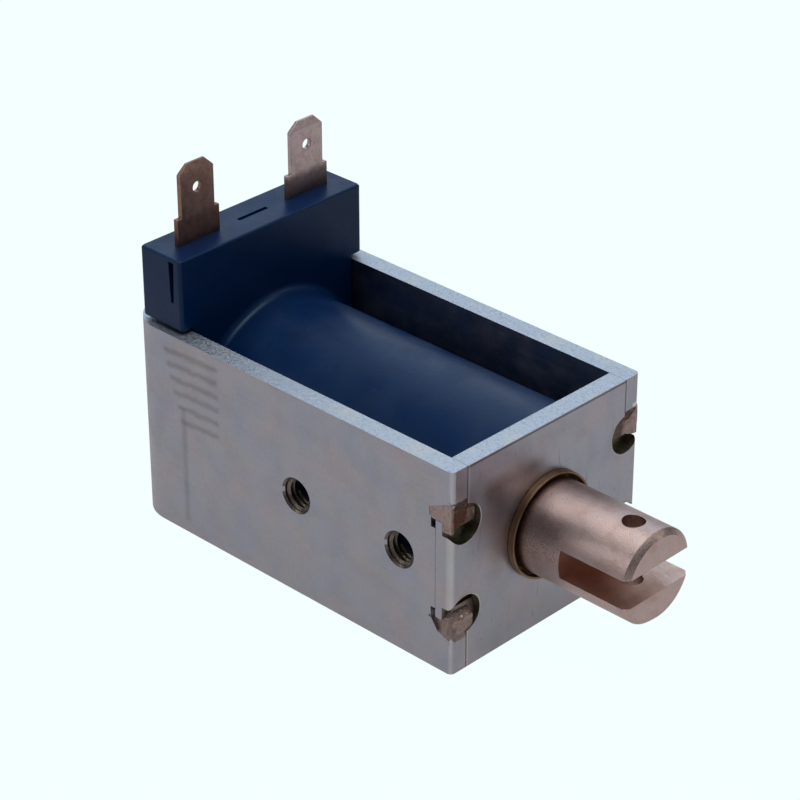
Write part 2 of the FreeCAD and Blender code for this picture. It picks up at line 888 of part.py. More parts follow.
for item in document.Objects:
    if "Invalid" in item.State or "Error" in item.State:
        raise RuntimeError(f"{item.Name} did not compute: {item.State}")
    if item.TypeId in ("PartDesign::Pocket", "PartDesign::Groove"):
        if item.Shape.Volume > item.BaseFeature.Shape.Volume - 1e-6:
            raise RuntimeError(f"{item.Name} cuts nothing")
os.makedirs("parts", exist_ok=True)
for body in bodies:
    shape = body.Shape
    if shape.isNull() or not shape.isValid():
        raise RuntimeError(f"{body.Label} has no valid shape")
    shape.exportStep(f"parts/{body.Label}.step")
    box = shape.optimalBoundingBox(False, False)
    corners = [round(value, 2) for value in (box.XMin, box.XMax, box.YMin, box.YMax, box.ZMin, box.ZMax)]
    print(body.Label, "solids", len(shape.Solids), "volume", round(shape.Volume, 2), "box", corners)
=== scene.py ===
from math import pi, radians

import bmesh
import bpy
from mathutils import Euler, Matrix, Vector, noise


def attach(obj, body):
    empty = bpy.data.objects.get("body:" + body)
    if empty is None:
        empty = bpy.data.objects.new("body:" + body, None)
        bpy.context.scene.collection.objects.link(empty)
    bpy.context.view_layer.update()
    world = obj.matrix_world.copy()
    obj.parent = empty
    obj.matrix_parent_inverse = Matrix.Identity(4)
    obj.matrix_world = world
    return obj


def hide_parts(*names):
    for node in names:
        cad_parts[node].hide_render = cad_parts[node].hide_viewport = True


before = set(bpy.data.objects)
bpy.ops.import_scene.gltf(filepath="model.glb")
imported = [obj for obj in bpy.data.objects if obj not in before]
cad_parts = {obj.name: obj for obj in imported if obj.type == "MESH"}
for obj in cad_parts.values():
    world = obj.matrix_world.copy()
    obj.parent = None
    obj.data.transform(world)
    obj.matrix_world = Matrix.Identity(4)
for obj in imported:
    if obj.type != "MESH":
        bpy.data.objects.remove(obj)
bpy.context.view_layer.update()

scene = bpy.context.scene
scene.view_settings.view_transform = "Standard"
noise.seed_set(4)  # the squashed metal has the same dents on every run
mm = 0.001


# 0 to 255 as a screen shows it, to the linear values that shaders take
def srgb(red, green, blue):
    steps = [value / 255 for value in (red, green, blue)]
    return tuple(s / 12.92 if s <= 0.04045 else ((s + 0.055) / 1.055) ** 2.4 for s in steps) + (1,)


def addNode(tree, kind, inputs=None, **settings):
    node = tree.nodes.new("ShaderNode" + kind)
    for name, value in settings.items():
        setattr(node, name, value)
    for name, value in (inputs or {}).items():
        if isinstance(value, bpy.types.NodeSocket):
            tree.links.new(value, node.inputs[name])
        else:
            node.inputs[name].default_value = value
    return node


def maths(tree, operation, first, second=0.0):
    return addNode(tree, "Math", {0: first, 1: second}, operation=operation).outputs[0]


def mixColour(tree, amount, below, above, blend="MIX"):
    node = addNode(tree, "Mix", data_type="RGBA", blend_type=blend)
    for index, value in ((0, amount), (6, below), (7, above)):  # factor, then the two colours
        if isinstance(value, bpy.types.NodeSocket):
            tree.links.new(value, node.inputs[index])
        else:
            node.inputs[index].default_value = value
    return node.outputs[2]


# start to end as the value goes from low to high, eased at both ends
def spread(tree, value, low, high, start=0.0, end=1.0):
    settings = {"Value": value, "From Min": low, "From Max": high, "To Min": start, "To Max": end}
    return addNode(tree, "MapRange", settings, interpolation_type="SMOOTHSTEP").outputs["Result"]


def newGroup(name, inputs, outputs):
    group = bpy.data.node_groups.new(name, "ShaderNodeTree")
    for label, value in inputs.items():
        kind = "NodeSocketFloat" if isinstance(value, (int, float)) else "NodeSocketVector"
        group.interface.new_socket(name=label, in_out="INPUT", socket_type=kind).default_value = value
    for label in outputs:
        group.interface.new_socket(name=label, in_out="OUTPUT", socket_type="NodeSocketFloat")
    entry = group.nodes.new("NodeGroupInput")
    leave = group.nodes.new("NodeGroupOutput")
    return group, entry, leave


def placeGroup(tree, group, values):
    node = tree.nodes.new("ShaderNodeGroup")
    node.node_tree = group
    for name, value in values.items():
        node.inputs[name].default_value = value
    return node.outputs[0]


def placeInMm(tree):
    coords = addNode(tree, "TexCoord").outputs["Object"]
    return addNode(tree, "VectorMath", {0: coords, "Scale": 1 / mm}, operation="SCALE").outputs[0]


# Shared effects. Each gives one mask from 0 to 1, and takes its sizes in millimetres.
def makeGrainGroup():
    group, entry, leave = newGroup(
        "grain",
        {"Size": 1.0, "Stretch": (1, 1, 1), "Low": 0.35, "High": 0.65, "Detail": 3.0, "Shift": 0.0},
        ["Mask"],
    )
    parts = {0: placeInMm(group), 1: entry.outputs["Stretch"]}
    stretched = addNode(group, "VectorMath", parts, operation="DIVIDE")
    scaled = maths(group, "DIVIDE", 1.0, entry.outputs["Size"])
    parts = {0: stretched.outputs[0], 1: entry.outputs["Shift"]}
    moved = addNode(group, "VectorMath", parts, operation="ADD")
    cloud = addNode(
        group, "TexNoise", {"Vector": moved.outputs[0], "Scale": scaled, "Detail": entry.outputs["Detail"]}
    )
    mask = spread(group, cloud.outputs["Fac"], entry.outputs["Low"], entry.outputs["High"])
    group.links.new(mask, leave.inputs["Mask"])
    return group


# Scattered round specks, some of the cells left empty
def makePitsGroup():
    group, entry, leave = newGroup("pits", {"Size": 1.0, "Radius": 0.2, "Share": 0.5}, ["Mask"])
    scaled = maths(group, "DIVIDE", 1.0, entry.outputs["Size"])
    cells = addNode(group, "TexVoronoi", {"Vector": placeInMm(group), "Scale": scaled, "Randomness": 1.0})
    parts = addNode(group, "SeparateColor", {"Color": cells.outputs["Color"]})
    kept = maths(group, "LESS_THAN", parts.outputs["Red"], entry.outputs["Share"])
    radius = maths(group, "MULTIPLY", entry.outputs["Radius"], parts.outputs["Green"])
    near = spread(group, cells.outputs["Distance"], 0.0, radius, 1.0, 0.0)
    group.links.new(maths(group, "MULTIPLY", near, kept), leave.inputs["Mask"])
    return group


# A soft-edged box. The first of its two forms has a wandering outline and can be turned about its middle.
def makePatchGroup(name, wanders):
    inputs = {"Centre": (0, 0, 0), "Half": (1, 1, 1), "Soft": 0.5}
    if wanders:
        inputs = {**inputs, "Turn": (0, 0, 0), "Wander": 0.5, "Wander Size": 2.0}
    group, entry, leave = newGroup(name, inputs, ["Mask"])
    place = placeInMm(group)
    if wanders:
        scaled = maths(group, "DIVIDE", 1.0, entry.outputs["Wander Size"])
        cloud = addNode(group, "TexNoise", {"Vector": place, "Scale": scaled, "Detail": 3.0})
        parts = {0: cloud.outputs["Color"], 1: (0.5, 0.5, 0.5)}
        centred = addNode(group, "VectorMath", parts, operation="SUBTRACT").outputs[0]
        parts = {0: centred, "Scale": entry.outputs["Wander"]}
        wander = addNode(group, "VectorMath", parts, operation="SCALE")
        moved = addNode(group, "VectorMath", {0: place, 1: wander.outputs[0]}, operation="ADD").outputs[0]
        turning = {"Vector": moved, "Center": entry.outputs["Centre"], "Rotation": entry.outputs["Turn"]}
        place = addNode(group, "VectorRotate", turning, rotation_type="EULER_XYZ").outputs[0]
    parts = {0: place, 1: entry.outputs["Centre"]}
    offset = addNode(group, "VectorMath", parts, operation="SUBTRACT").outputs[0]
    away = addNode(group, "VectorMath", {0: offset}, operation="ABSOLUTE").outputs[0]
    parts = {0: away, 1: entry.outputs["Half"]}
    outside = addNode(group, "VectorMath", parts, operation="SUBTRACT").outputs[0]
    parts = addNode(group, "SeparateXYZ", {0: outside})
    lowEdge = maths(group, "MULTIPLY", entry.outputs["Soft"], -1.0)
    masks = [spread(group, parts.outputs[axis], lowEdge, entry.outputs["Soft"], 1.0, 0.0) for axis in "XYZ"]
    both = maths(group, "MULTIPLY", masks[0], masks[1])
    group.links.new(maths(group, "MULTIPLY", both, masks[2]), leave.inputs["Mask"])
    return group


grainGroup = makeGrainGroup()
pitsGroup = makePitsGroup()
patchGroup = makePatchGroup("patch", True)
plainPatchGroup = makePatchGroup("plainPatch", False)


# A Principled material, with what is the same all over set on the shader itself
def newMaterial(name, fixed):
    material = bpy.data.materials.new(name)
    material.use_nodes = True
    tree = material.node_tree
    tree.nodes.clear()
    shader = addNode(tree, "BsdfPrincipled", fixed)
    addNode(tree, "OutputMaterial", {"Surface": shader.outputs[0]})
    return material, tree, shader


# Tints clouded into each other, marks in their places, then roughness and bump from layers of grain
def finishMaterial(name, look):
    material, tree, shader = newMaterial(name, look.get("fixed", {}))
    colour = look["colour"]
    for cloud in look.get("tints", []):
        mask = maths(tree, "MULTIPLY", placeGroup(tree, grainGroup, cloud["grain"]), cloud["amount"])
        colour = mixColour(tree, mask, colour, cloud["colour"])
    rough = None
    for layer in look["roughness"]["layers"]:
        mask = maths(tree, "MULTIPLY", placeGroup(tree, grainGroup, layer["grain"]), layer["amount"])
        rough = mask if rough is None else maths(tree, "ADD", rough, mask)
    rough = maths(tree, "ADD", rough, look["roughness"]["base"])
    for spot in look.get("marks", []):
        group = patchGroup if "Wander" in spot["place"] else plainPatchGroup
        group = pitsGroup if "Share" in spot["place"] else group
        mask = maths(tree, "MULTIPLY", placeGroup(tree, group, spot["place"]), spot["amount"])
        if "grain" in spot:
            mask = maths(tree, "MULTIPLY", mask, placeGroup(tree, grainGroup, spot["grain"]))
        colour = mixColour(tree, mask, colour, spot["colour"])
        if "rough" in spot:
            rough = maths(tree, "ADD", rough, maths(tree, "MULTIPLY", mask, spot["rough"]))
    height = None
    for layer in look.get("bump", []):
        mask = maths(tree, "MULTIPLY", placeGroup(tree, grainGroup, layer["grain"]), layer["depth"])
        height = mask if height is None else maths(tree, "ADD", height, mask)
    tree.links.new(rough, shader.inputs["Roughness"])
    if isinstance(colour, bpy.types.NodeSocket):
        tree.links.new(colour, shader.inputs["Base Color"])
    else:
        shader.inputs["Base Color"].default_value = colour
    if height is not None:
        bump = addNode(tree, "Bump", {"Height": height, "Distance": mm, "Strength": 1.0})
        tree.links.new(bump.outputs[0], shader.inputs["Normal"])
    return material


# Grain: its size in mm and the band of the noise that shows, with a stretch, a shift or a detail of its own
def grain(size, low, high, **more):
    named = {key.capitalize(): value for key, value in more.items()}
    return {"Size": size, "Low": low, "High": high, **named}


def tint(amount, colour, *band, **more):
    return {"grain": grain(*band, **more), "amount": amount, "colour": colour}


def roughen(amount, *band, **more):
    return {"grain": grain(*band, **more), "amount": amount}


def bumps(depth, *band, **more):
    return {"grain": grain(*band, **more), "depth": depth}


# A patch of another colour: its middle, half size and soft edge in mm. A wander is how far its outline
# strays, and over what length.
def mark(amount, colour, middle, half, soft, wander=(), turn=None, **more):
    place = {"Centre": middle, "Half": half, "Soft": soft}
    if wander:
        place["Wander"], place["Wander Size"] = wander
    if turn:
        place["Turn"] = turn
    return {"place": place, "amount": amount, "colour": colour, **more}


# Single pits: the mean distance between them, their radius, and the share of places that has one
def pits(amount, colour, size, radius, share):
    return {"place": {"Size": size, "Radius": radius, "Share": share}, "amount": amount, "colour": colour}


def metal(**more):
    return {"Metallic": 1.0, **more}


rolled = (14, 1, 1)  # rolling lines run along the strip
zincLook = {
    "fixed": metal(),
    "colour": srgb(180, 178, 186),
    "tints": [
        tint(0.4, srgb(164, 174, 194), 9.0, 0.36, 0.68, detail=4.0),
        tint(0.35, srgb(194, 176, 178), 6.0, 0.42, 0.7, shift=31.0),
        tint(0.3, srgb(184, 184, 170), 3.0, 0.52, 0.72, shift=77.0),
        tint(0.22, srgb(152, 152, 160), 0.5, 0.35, 0.8, shift=5.0),
    ],
    "roughness": {
        "base": 0.3,
        "layers": [
            roughen(0.14, 4.0, 0.35, 0.7, detail=5.0),
            roughen(0.08, 0.3, 0.3, 0.8, stretch=rolled),
        ],
    },
    "marks": [pits(0.4, srgb(92, 92, 95), 1.6, 0.16, 0.5)],
    "bump": [
        bumps(0.002, 0.25, 0.2, 0.9, stretch=rolled),
        bumps(0.004, 0.6, 0.3, 0.75, detail=4.0),
    ],
}


def withMarks(look, marks):
    return {**look, "marks": look.get("marks", []) + marks}


rubbed = {"count": 6, "step": 2.15, "half": 5.6, "shorter": 0.3}
rubbedStreaks = [
    mark(
        0.34,
        srgb(112, 104, 100),
        (-51.0 + rubbed["shorter"] * step, -19, 13.6 - rubbed["step"] * step),
        (rubbed["half"] - rubbed["shorter"] * step, 1, 0.42),
        0.4,
        (0.9, 1.6),
        (0, radians(2.5), 0),
        rough=0.1,
    )
    for step in range(rubbed["count"])
]
# Painted reflection: a darker upright strip on the near side plate towards the rear bend
sideStrip = mark(0.25, srgb(110, 106, 108), (-52.9, -19, -4.5), (0.5, 0.6, 9.5), 0.4)
# The horns' ends: painted shade in the seam beside the front plate, a painted highlight along the rounded
# outer corner, painted shade along a ragged ledge where the punch bit, and a light chip there
seamShade, cornerHighlight = srgb(50, 48, 50), srgb(236, 234, 232)
hornMarks = [mark(0.9, seamShade, (0, side * 16.04, 0), (0.25, 0.07, 17), 0.08) for side in (-1, 1)]
hornMarks += [mark(0.4, cornerHighlight, (-0.3, side * 18.8, 0), (0.25, 0.25, 17), 0.3) for side in (-1, 1)]
hornMarks += [
    mark(0.85, srgb(46, 42, 44), (-0.2, -17.4, 11.0), (0.7, 1.3, 0.12), 0.08, (0.6, 0.9)),
    mark(0.8, srgb(240, 244, 248), (-0.1, 18.3, 11.3), (0.6, 0.7, 0.3), 0.08, (0.6, 0.9)),
]
zincPlate = finishMaterial("zincPlate", withMarks(zincLook, rubbedStreaks + [sideStrip]))
hornZinc = finishMaterial("hornZinc", withMarks(zincLook, hornMarks))
# A lighter copy of the zinc for the raised rims round the reliefs: painted highlight
rimZinc = finishMaterial("rimZinc", {**zincLook, "colour": srgb(208, 204, 198), "marks": []})


# The front plate: painted shade under its top edge, painted highlights along its upright edges and the tab's
# outer edge, a painted brown reflection of the plunger beside the bore, painted shade towards the bottom
reflectionWander = (1.5, 2.5)
edgeHighlight = srgb(226, 224, 220)
uprightScratches = grain(0.7, 0.64, 0.72, stretch=(1, 1, 9))
frontMarks = [
    mark(0.8, srgb(60, 56, 56), (0, 0, 15.72), (1, 17, 0.12), 0.12),
    mark(0.5, edgeHighlight, (0, -15.78, 13.2), (1, 0.1, 3.0), 0.12),
    mark(0.5, edgeHighlight, (0, -15.78, -13.2), (1, 0.1, 3.0), 0.12),
    mark(0.5, srgb(236, 234, 230), (0, -18.8, 0), (1, 0.25, 6.5), 0.3),
    mark(0.6, srgb(104, 78, 60), (0, -7.0, 10.2), (1, 5.5, 1.2), 1.6, reflectionWander),
    mark(0.75, srgb(124, 98, 82), (0, -9.6, 2.5), (1, 1.0, 6.0), 3.2, reflectionWander),
    mark(0.35, srgb(122, 116, 108), (0, 0, -16), (1, 17, 4), 7.0),
    mark(0.35, srgb(96, 84, 76), (0, 0, 0), (1, 17, 17), 0.5, grain=uprightScratches),
]
frontZinc = finishMaterial("frontZinc", withMarks(zincLook, frontMarks))
# A darker copy of the zinc for the inside faces: painted shade
innerZinc = finishMaterial("innerZinc", {**zincLook, "colour": srgb(150, 146, 145)})

shearedLook = {
    "fixed": metal(),
    "colour": srgb(190, 200, 214),
    "tints": [
        tint(0.5, srgb(150, 158, 172), 0.5, 0.45, 0.72, detail=5.0),
        tint(0.6, srgb(84, 88, 98), 0.22, 0.6, 0.75),
        tint(0.4, srgb(206, 208, 200), 5.0, 0.5, 0.66, shift=12.0),
    ],
    "roughness": {"base": 0.36, "layers": [roughen(0.2, 0.5, 0.3, 0.7)]},
    "bump": [
        bumps(0.03, 0.8, 0.2, 0.8, stretch=(2, 1, 1), detail=6.0),
        bumps(0.014, 0.14, 0.35, 0.7),
    ],
}
shearedZinc = finishMaterial("shearedZinc", shearedLook)
punchedSteel = finishMaterial(
    "punchedSteel",
    {
        "fixed": metal(),
        "colour": srgb(158, 143, 138),
        "tints": [tint(0.6, srgb(124, 112, 108), 0.9, 0.4, 0.7)],
        "roughness": {"base": 0.34, "layers": [roughen(0.15, 0.4, 0.3, 0.7)]},
        "bump": [bumps(0.02, 0.22, 0.2, 0.8, stretch=(1, 1, 9))],
    },
)
tornSteel = finishMaterial(
    "tornSteel",
    {
        "fixed": metal(),
        "colour": srgb(120, 92, 80),
        "tints": [
            tint(0.8, srgb(72, 60, 56), 0.7, 0.42, 0.6),
            tint(0.6, srgb(165, 140, 128), 0.3, 0.5, 0.7, shift=9.0),
        ],
        "roughness": {"base": 0.4, "layers": [roughen(0.3, 0.3, 0.3, 0.7)]},
        "bump": [bumps(0.08, 0.4, 0.2, 0.8, detail=6.0)],
    },
)
threadZinc = finishMaterial(
    "threadZinc",
    {
        "fixed": metal(),
        "colour": srgb(128, 118, 110),
        "tints": [tint(0.6, srgb(78, 70, 66), 0.8, 0.4, 0.65)],
        "roughness": {"base": 0.3, "layers": [roughen(0.15, 0.3, 0.3, 0.7)]},
        "bump": [bumps(0.01, 0.2, 0.3, 0.8)],
    },
)
stakedSteel = finishMaterial(
    "stakedSteel",
    {
        "fixed": metal(),
        "colour": srgb(180, 160, 154),
        "tints": [
            tint(0.6, srgb(160, 134, 126), 1.6, 0.42, 0.66),
            tint(0.4, srgb(110, 96, 90), 0.5, 0.5, 0.72, shift=4.0),
        ],
        "marks": [
            mark(0.9, srgb(112, 74, 54), (-0.5, -16.9, 8.0), (0.9, 1.5, 1.7), 0.4, (1.4, 0.9), rough=0.2),
            # Grey-green painted shade on the top of the lower near stake
            mark(0.85, srgb(92, 96, 84), (-1.0, -16, -5.9), (1.2, 2.6, 1.1), 0.4, (0.4, 1.0), rough=0.2),
            mark(0.7, srgb(84, 70, 68), (-0.5, 15.4, 8.0), (0.9, 1.2, 2.2), 0.5, (1.0, 0.9), rough=0.2),
        ],
        "roughness": {"base": 0.36, "layers": [roughen(0.2, 0.4, 0.3, 0.7)]},
        "bump": [
            bumps(0.03, 0.3, 0.2, 0.8, stretch=(1, 1, 6)),
            bumps(0.05, 0.5, 0.3, 0.75, detail=5.0),
        ],
    },
)
resinLook = {
    "fixed": {"IOR": 1.5, "Specular IOR Level": 0.3, "Specular Tint": (0.62, 0.86, 1.0, 1.0)},
    "colour": srgb(0, 34, 76),
    "tints": [
        tint(0.5, srgb(8, 34, 72), 9.0, 0.42, 0.62),
        tint(0.25, srgb(16, 32, 62), 5.0, 0.5, 0.7, shift=21.0),
        tint(0.2, srgb(36, 58, 92), 0.35, 0.6, 0.8),
    ],
    "roughness": {
        "base": 0.3,
        "layers": [
            roughen(0.12, 5.0, 0.35, 0.7, detail=5.0),
            roughen(0.08, 0.4, 0.4, 0.8),
        ],
    },
    "marks": [pits(0.5, srgb(92, 104, 128), 2.2, 0.1, 0.6)],
    "bump": [
        bumps(0.006, 0.5, 0.2, 0.8),
        bumps(0.012, 2.5, 0.3, 0.7),
    ],
}
coilResin = finishMaterial("coilResin", resinLook)
tabLook = {
    "fixed": metal(),
    "colour": srgb(198, 178, 176),
    "tints": [
        tint(0.5, srgb(176, 156, 154), 2.0, 0.42, 0.66),
        tint(0.3, srgb(142, 122, 118), 0.4, 0.5, 0.75),
    ],
    "roughness": {"base": 0.3, "layers": [roughen(0.16, 0.8, 0.3, 0.7)]},
    "bump": [bumps(0.006, 0.16, 0.2, 0.8, stretch=(1, 1, 12))],
}


# The shank darker, from the block up to just under the shoulders
def shankDarkening(middle, top, amount, colour):
    return mark(amount, colour, (-57.7, middle, top - 4), (2, 5, 4), 0.7, (0.8, 1.5), rough=0.08)


finishShankDark = shankDarkening(10.75, 31.0, 0.75, srgb(92, 78, 76))
finishPlate = finishMaterial("finishPlate", withMarks(tabLook, [finishShankDark]))
startLook = {
    **tabLook,
    "colour": srgb(158, 128, 116),
    "tints": [
        tint(0.6, srgb(128, 100, 90), 2.0, 0.42, 0.66),
        tint(0.4, srgb(104, 84, 76), 0.4, 0.5, 0.75),
    ],
}
startShankDark = shankDarkening(-10.75, 31.5, 0.5, srgb(104, 72, 62))
startPlate = finishMaterial("startPlate", withMarks(startLook, [startShankDark]))
plungerSpeckle = grain(0.15, 0.45, 0.62, detail=3.0)
plungerSparkle = grain(0.18, 0.66, 0.76)
plungerPlate = finishMaterial(
    "plungerPlate",
    {
        "fixed": metal(),
        "colour": srgb(206, 182, 176),
        "tints": [
            tint(0.45, srgb(194, 176, 176), 5.0, 0.42, 0.62),
            tint(0.4, srgb(178, 144, 128), 2.6, 0.5, 0.7, shift=8.0),
            tint(0.25, srgb(160, 128, 114), 0.3, 0.5, 0.75),
        ],
        "marks": [
            # Painted shade and painted reflection of the dark gap, in a ring where the plunger leaves the
            # bore
            mark(0.7, srgb(104, 66, 44), (1.0, 0, 0), (0.7, 9, 9), 0.6, (0.3, 2.0)),
            mark(
                0.4,
                srgb(124, 84, 64),
                (0.8, 0, 0),
                (1.5, 9, 9),
                1.2,
                (2.5, 1.6),
                grain=plungerSpeckle,
                rough=0.2,
            ),
            mark(
                0.55,
                srgb(128, 92, 74),
                (5, -5, 2),
                (3.4, 3.5, 2.6),
                1.5,
                (3.0, 2.5),
                grain=plungerSpeckle,
                rough=0.25,
            ),
            # Painted glints: light specks over the plunger
            mark(0.5, srgb(238, 222, 214), (12, 0, 0), (14, 9, 9), 1.0, grain=plungerSparkle),
        ],
        "roughness": {
            "base": 0.27,
            "layers": [
                roughen(0.12, 0.3, 0.35, 0.7, detail=3.0),
                roughen(0.06, 0.25, 0.3, 0.8, stretch=(1, 12, 12)),
            ],
        },
        "bump": [
            bumps(0.004, 0.2, 0.2, 0.8, stretch=(1, 14, 14)),
            bumps(0.014, 0.16, 0.3, 0.75, detail=4.0),
            bumps(0.004, 1.2, 0.3, 0.75),
        ],
    },
)
noseRub = finishMaterial(
    "noseRub",
    {
        "fixed": metal(),
        "colour": srgb(208, 184, 176),
        "tints": [tint(0.5, srgb(150, 118, 104), 0.2, 0.45, 0.65)],
        "roughness": {"base": 0.34, "layers": [roughen(0.12, 0.3, 0.3, 0.7)]},
        "bump": [bumps(0.02, 0.2, 0.2, 0.8, stretch=(1, 5, 5))],
    },
)
# Browner towards the end of the slot
slotBrown = finishMaterial(
    "slotBrown",
    {
        "fixed": metal(),
        "colour": srgb(214, 188, 178),
        "tints": [tint(0.4, srgb(178, 128, 100), 2.4, 0.35, 0.75)],
        "marks": [mark(0.6, srgb(164, 100, 66), (8.5, 0, 0), (1.0, 8, 3), 3.6, (1.0, 2.0))],
        "roughness": {"base": 0.3, "layers": [roughen(0.12, 0.3, 0.3, 0.7)]},
        "bump": [bumps(0.01, 0.12, 0.2, 0.8, stretch=(12, 1, 1))],
    },
)


def plainMetal(name, colour, darker, roughness, grainSize=0.3, stretch=(1, 8, 8)):
    look = {
        "fixed": metal(),
        "colour": colour,
        "tints": [tint(0.5, darker, 2.0, 0.4, 0.7)],
        "roughness": {"base": roughness, "layers": [roughen(0.12, 0.5, 0.3, 0.7)]},
        "bump": [bumps(0.006, grainSize, 0.2, 0.8, stretch=stretch)],
    }
    return finishMaterial(name, look)


brassTube = plainMetal("brassTube", srgb(190, 160, 104), srgb(150, 120, 78), 0.26)
lipBrown = plainMetal("lipBrown", srgb(150, 122, 98), srgb(112, 80, 56), 0.34)
rodSteel = plainMetal("rodSteel", srgb(176, 176, 178), srgb(150, 150, 154), 0.2)
coreSteel = plainMetal("coreSteel", srgb(158, 158, 160), srgb(130, 130, 134), 0.34)
bushBronze = plainMetal("bushBronze", srgb(156, 120, 78), srgb(120, 92, 62), 0.45, 0.15, (1, 1, 1))
copperWire = plainMetal("copperWire", srgb(190, 112, 76), srgb(150, 80, 52), 0.3, 0.4, (1, 30, 30))
formerNylon = finishMaterial(
    "formerNylon",
    {
        "fixed": {"IOR": 1.5},
        "colour": srgb(40, 40, 42),
        "tints": [tint(0.4, srgb(58, 58, 60), 0.6, 0.4, 0.7)],
        "roughness": {"base": 0.5, "layers": [roughen(0.15, 0.5, 0.3, 0.7)]},
        "bump": [bumps(0.01, 0.4, 0.3, 0.8)],
    },
)
print("materials made")


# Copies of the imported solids, with broken edges and a material for each kind of face
def dressedCopy(nodeName, body, finish):
    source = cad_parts[nodeName]
    mesh = bpy.data.meshes.new(nodeName + "Dressed")
    shape = bmesh.new()
    shape.from_mesh(source.data)
    bmesh.ops.remove_doubles(shape, verts=shape.verts, dist=1e-6)
    bmesh.ops.dissolve_limit(
        shape, angle_limit=radians(0.6), verts=shape.verts, edges=shape.edges, use_dissolve_boundaries=False
    )
    bmesh.ops.recalc_face_normals(shape, faces=shape.faces)
    for face in shape.faces:
        face.material_index = finish["kindOf"](face.calc_center_median() / mm, face.normal)
        face.smooth = True
    shape.to_mesh(mesh)
    shape.free()
    mesh.set_sharp_from_angle(angle=radians(finish["smoothBelow"]))
    for material in finish["materials"]:
        mesh.materials.append(material)
    piece = bpy.data.objects.new(nodeName + "Dressed", mesh)
    scene.collection.objects.link(piece)
    bevel = piece.modifiers.new("brokenEdges", "BEVEL")
    bevel.width = finish["edgeMm"] * mm
    bevel.segments = finish.get("segments", 2)
    bevel.limit_method = "ANGLE"
    bevel.angle_limit = radians(finish["smoothBelow"])
    bevel.use_clamp_overlap = True
    flatten = piece.modifiers.new("flatFaces", "WEIGHTED_NORMAL")
    flatten.keep_sharp = True
    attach(piece, body)
    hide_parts(nodeName)
    return piece


def linkMesh(name, shape, material, body):
    mesh = bpy.data.meshes.new(name)
    shape.to_mesh(mesh)
    shape.free()
    mesh.materials.append(material)
    piece = bpy.data.objects.new(name, mesh)
    scene.collection.objects.link(piece)
    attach(piece, body)
    return piece


frameSizes = {
    "halfWidth": 19.0,
    "halfHeight": 16.0,
    "innerHalfWidth": 16.0,
    "length": 65.0,
    "tappedRadius": 2.5,
    "tappedPlaces": (-9.8, -29.8),
    "markBack": -4.2,
    "markHeights": (6, 11.2),
    "tornHeights": (5, 10.3),
    "hornEnds": -0.9,  # in front of this a face belongs to a horn's end
    "notchReach": -9,
    "thickness": 3.0,
    "edge": 0.18,
}


# 0 outside, 1 sheared edge, 2 punch mark, 3 torn metal, 4 thread, 5 inside, 6 the horns' ends
def frameKind(centre, normal):
    s = frameSizes
    if abs(centre.z) > s["halfHeight"] - 0.05 and abs(normal.z) > 0.9:
        return 1
    fromHole = min(abs(centre.x - x) for x in s["tappedPlaces"])
    inHole = fromHole < s["tappedRadius"] + 0.1 and abs(centre.z) < s["tappedRadius"] + 0.4
    if inHole and abs(normal.y) < 0.9:
        return 4
    slanted = 0.1 < abs(normal.z) < 0.9 or abs(centre.x - s["markBack"]) < 0.05
    lowest, highest = s["markHeights"]
    if centre.x > s["markBack"] - 0.3 and lowest < abs(centre.z) < highest and slanted:
        return 3 if centre.z > 0 and normal.x > 0.5 and centre.x > s["markBack"] + 0.2 else 2
    lowest, highest = s["tornHeights"]
    if centre.x > -s["thickness"] and lowest < abs(centre.z) < highest and abs(normal.y) < 0.9:
        return 3
    if centre.x > s["hornEnds"] and normal.x > 0.1:
        return 6
    if centre.x > s["notchReach"] and abs(centre.z) < 8 and abs(normal.y) < 0.5:
        return 5
    if abs(centre.y) < s["innerHalfWidth"] + 0.01 and centre.x > -s["length"] + s["thickness"] - 0.1:
        return 5
    return 0


frameFinish = {
    "edgeMm": frameSizes["edge"],
    "smoothBelow": 30,
    "kindOf": frameKind,
    "materials": [zincPlate, shearedZinc, punchedSteel, tornSteel, threadZinc, innerZinc, hornZinc],
}
dressedCopy("u_frame", "housing", frameFinish)


# Metal moved by the punches. Sizes are in mm, for the far upper corner, and the others mirror it.
stake = {
    "relief": (16.4, 7.2),  # middle of the round relief, across and up
    "reliefRadius": 3.0,
    "reliefFloor": -1.8,
    "tabTop": 7.7,
    "plateEdge": 15.95,  # where the front plate ends above its tab
    "markBack": frameSizes["markBack"],
    "markEnd": 4.6,
    "markTop": 10.9,
    "overCut": (-3.85, 6.35),  # where the solid's mark runs on behind the notch
    "notchBack": -3.05,
    "flush": 18.995,
    "pressed": 18.97,  # the squashed metal, a hair below the side plate
    "tongueBottom": 6.35,
    "tongueFront": -0.7,
    "voxel": 0.1,
    "softening": 5,  # rounds of smoothing
    "strays": ((1.3, 0.1), (0.4, 0.03)),  # over what length the metal strays, and how far
}


# 0 face and tabs, 1 sheared edge, 2 bore, 3 relief
def frontKind(centre, normal):
    across, up = stake["relief"]
    fromRelief = Vector((abs(centre.y) - across, abs(centre.z) - up)).length
    if abs(normal.x) < 0.5 and abs(fromRelief - stake["reliefRadius"]) < 0.2:
        return 3
    if abs(normal.x) > 0.9 or abs(centre.y) > 15.8:
        return 0
    if Vector((centre.y, centre.z)).length < 8.2:
        return 2
    return 1


# The bore wall brown: painted reflection of the plunger and painted shade
boreZinc = finishMaterial(
    "boreZinc",
    {
        **zincLook,
        "colour": srgb(150, 128, 112),
        "tints": [tint(0.5, srgb(104, 88, 78), 0.9, 0.4, 0.7)],
    },
)
